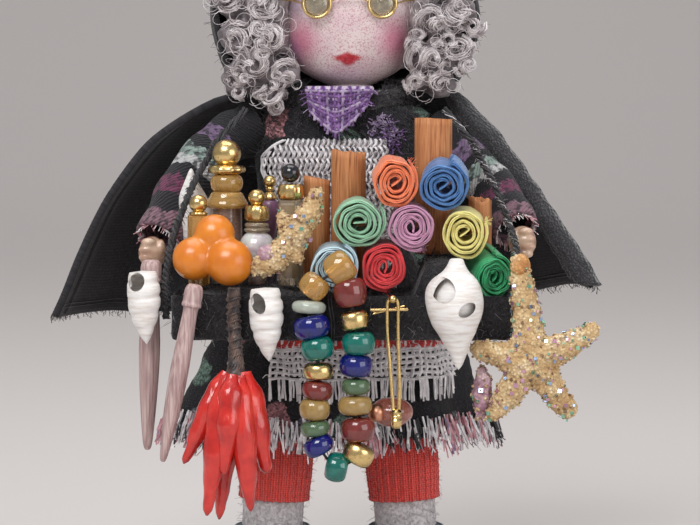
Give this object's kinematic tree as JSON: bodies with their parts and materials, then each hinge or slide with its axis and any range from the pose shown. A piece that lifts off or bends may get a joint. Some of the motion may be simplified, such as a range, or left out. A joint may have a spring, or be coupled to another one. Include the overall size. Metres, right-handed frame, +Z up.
{
  "type": "peddler doll",
  "caption": "Miniature standing doll in a black hooded cape, holding a tray of beads, rolled ribbons, bottles, shells, starfish and peppers.",
  "frame": {"origin": "on the surface the doll stands on, below the middle of its overall box", "axes": "+Z up through the head, -Y the way the doll faces, +X to the right as seen from the front"},
  "size_m": [0.051, 0.0366, 0.0692],
  "materials": {
    "black_cloth": "matte black felt",
    "white_hair": "silky curls",
    "face_paint": "satin, speckled",
    "eye_glass": "glossy",
    "gold": "polished gold colour",
    "print_cloth": "woven, printed with small patches",
    "white_gauze": "open weave",
    "purple_check": "woven check",
    "grey_felt": "fuzzy",
    "red_knit": "ribbed knit",
    "boot_leather": "soft, matte",
    "hand_skin": "satin",
    "orange_resin": "translucent, satin",
    "amber_glass": "glossy",
    "pearl": "pearly",
    "purple_glass": "glossy",
    "shell_white": "natural shell",
    "star_sand": "crusted, glittering",
    "cinnamon": "straight grain, matte",
    "spine_mauve": "satin",
    "pepper_red": "glossy",
    "bead_glass": "glossy",
    "rose_glass": "glossy",
    "roll_light_blue": "satin ribbon",
    "roll_red": "satin ribbon",
    "roll_dark_green": "satin ribbon",
    "roll_pale_green": "satin ribbon",
    "roll_mauve": "satin ribbon",
    "roll_yellow": "satin ribbon",
    "roll_orange": "satin ribbon",
    "roll_blue": "satin ribbon"
  },
  "bodies": {
    "root": {"head": "face_paint", "eye_left": "eye_glass", "eye_right": "eye_glass", "spectacles": "gold", "hair": "white_hair", "hood": "black_cloth", "cape": "black_cloth", "dress": "print_cloth", "sleeve_left": "print_cloth", "sleeve_right": "print_cloth", "hand_left": "hand_skin", "hand_right": "hand_skin", "neckerchief": "purple_check", "apron": "white_gauze", "leg_left": "grey_felt", "leg_right": "grey_felt", "legging_left": "red_knit", "legging_right": "red_knit", "boot_left": "boot_leather", "boot_right": "boot_leather", "tray": "black_cloth", "tray_bed": "black_cloth", "strap_left": "black_cloth", "strap_right": "black_cloth", "oranges": "orange_resin", "bottle_tall": "amber_glass", "bottle_small": "gold", "bottle_pearl": "pearl", "bottle_purple": "purple_glass", "bottle_black_top": "gold", "shell_tall": "shell_white", "starfish_small": "star_sand", "shell_big": "shell_white", "shell_small": "shell_white", "shell_left": "shell_white", "urchin_spine_a": "spine_mauve", "urchin_spine_b": "spine_mauve", "pepper_bunch": "pepper_red", "bead_string": "bead_glass", "pin": "gold", "pin_bead": "rose_glass", "starfish": "star_sand", "coral_piece": "star_sand", "cinnamon_stick_a": "cinnamon", "cinnamon_stick_b": "cinnamon", "cinnamon_stick_c": "cinnamon", "cinnamon_stick_d": "cinnamon", "roll_light_blue": "roll_light_blue", "roll_red": "roll_red", "roll_dark_green": "roll_dark_green", "roll_pale_green": "roll_pale_green", "roll_mauve": "roll_mauve", "roll_yellow": "roll_yellow", "roll_orange": "roll_orange", "roll_blue": "roll_blue"}
  },
  "joints": []
}
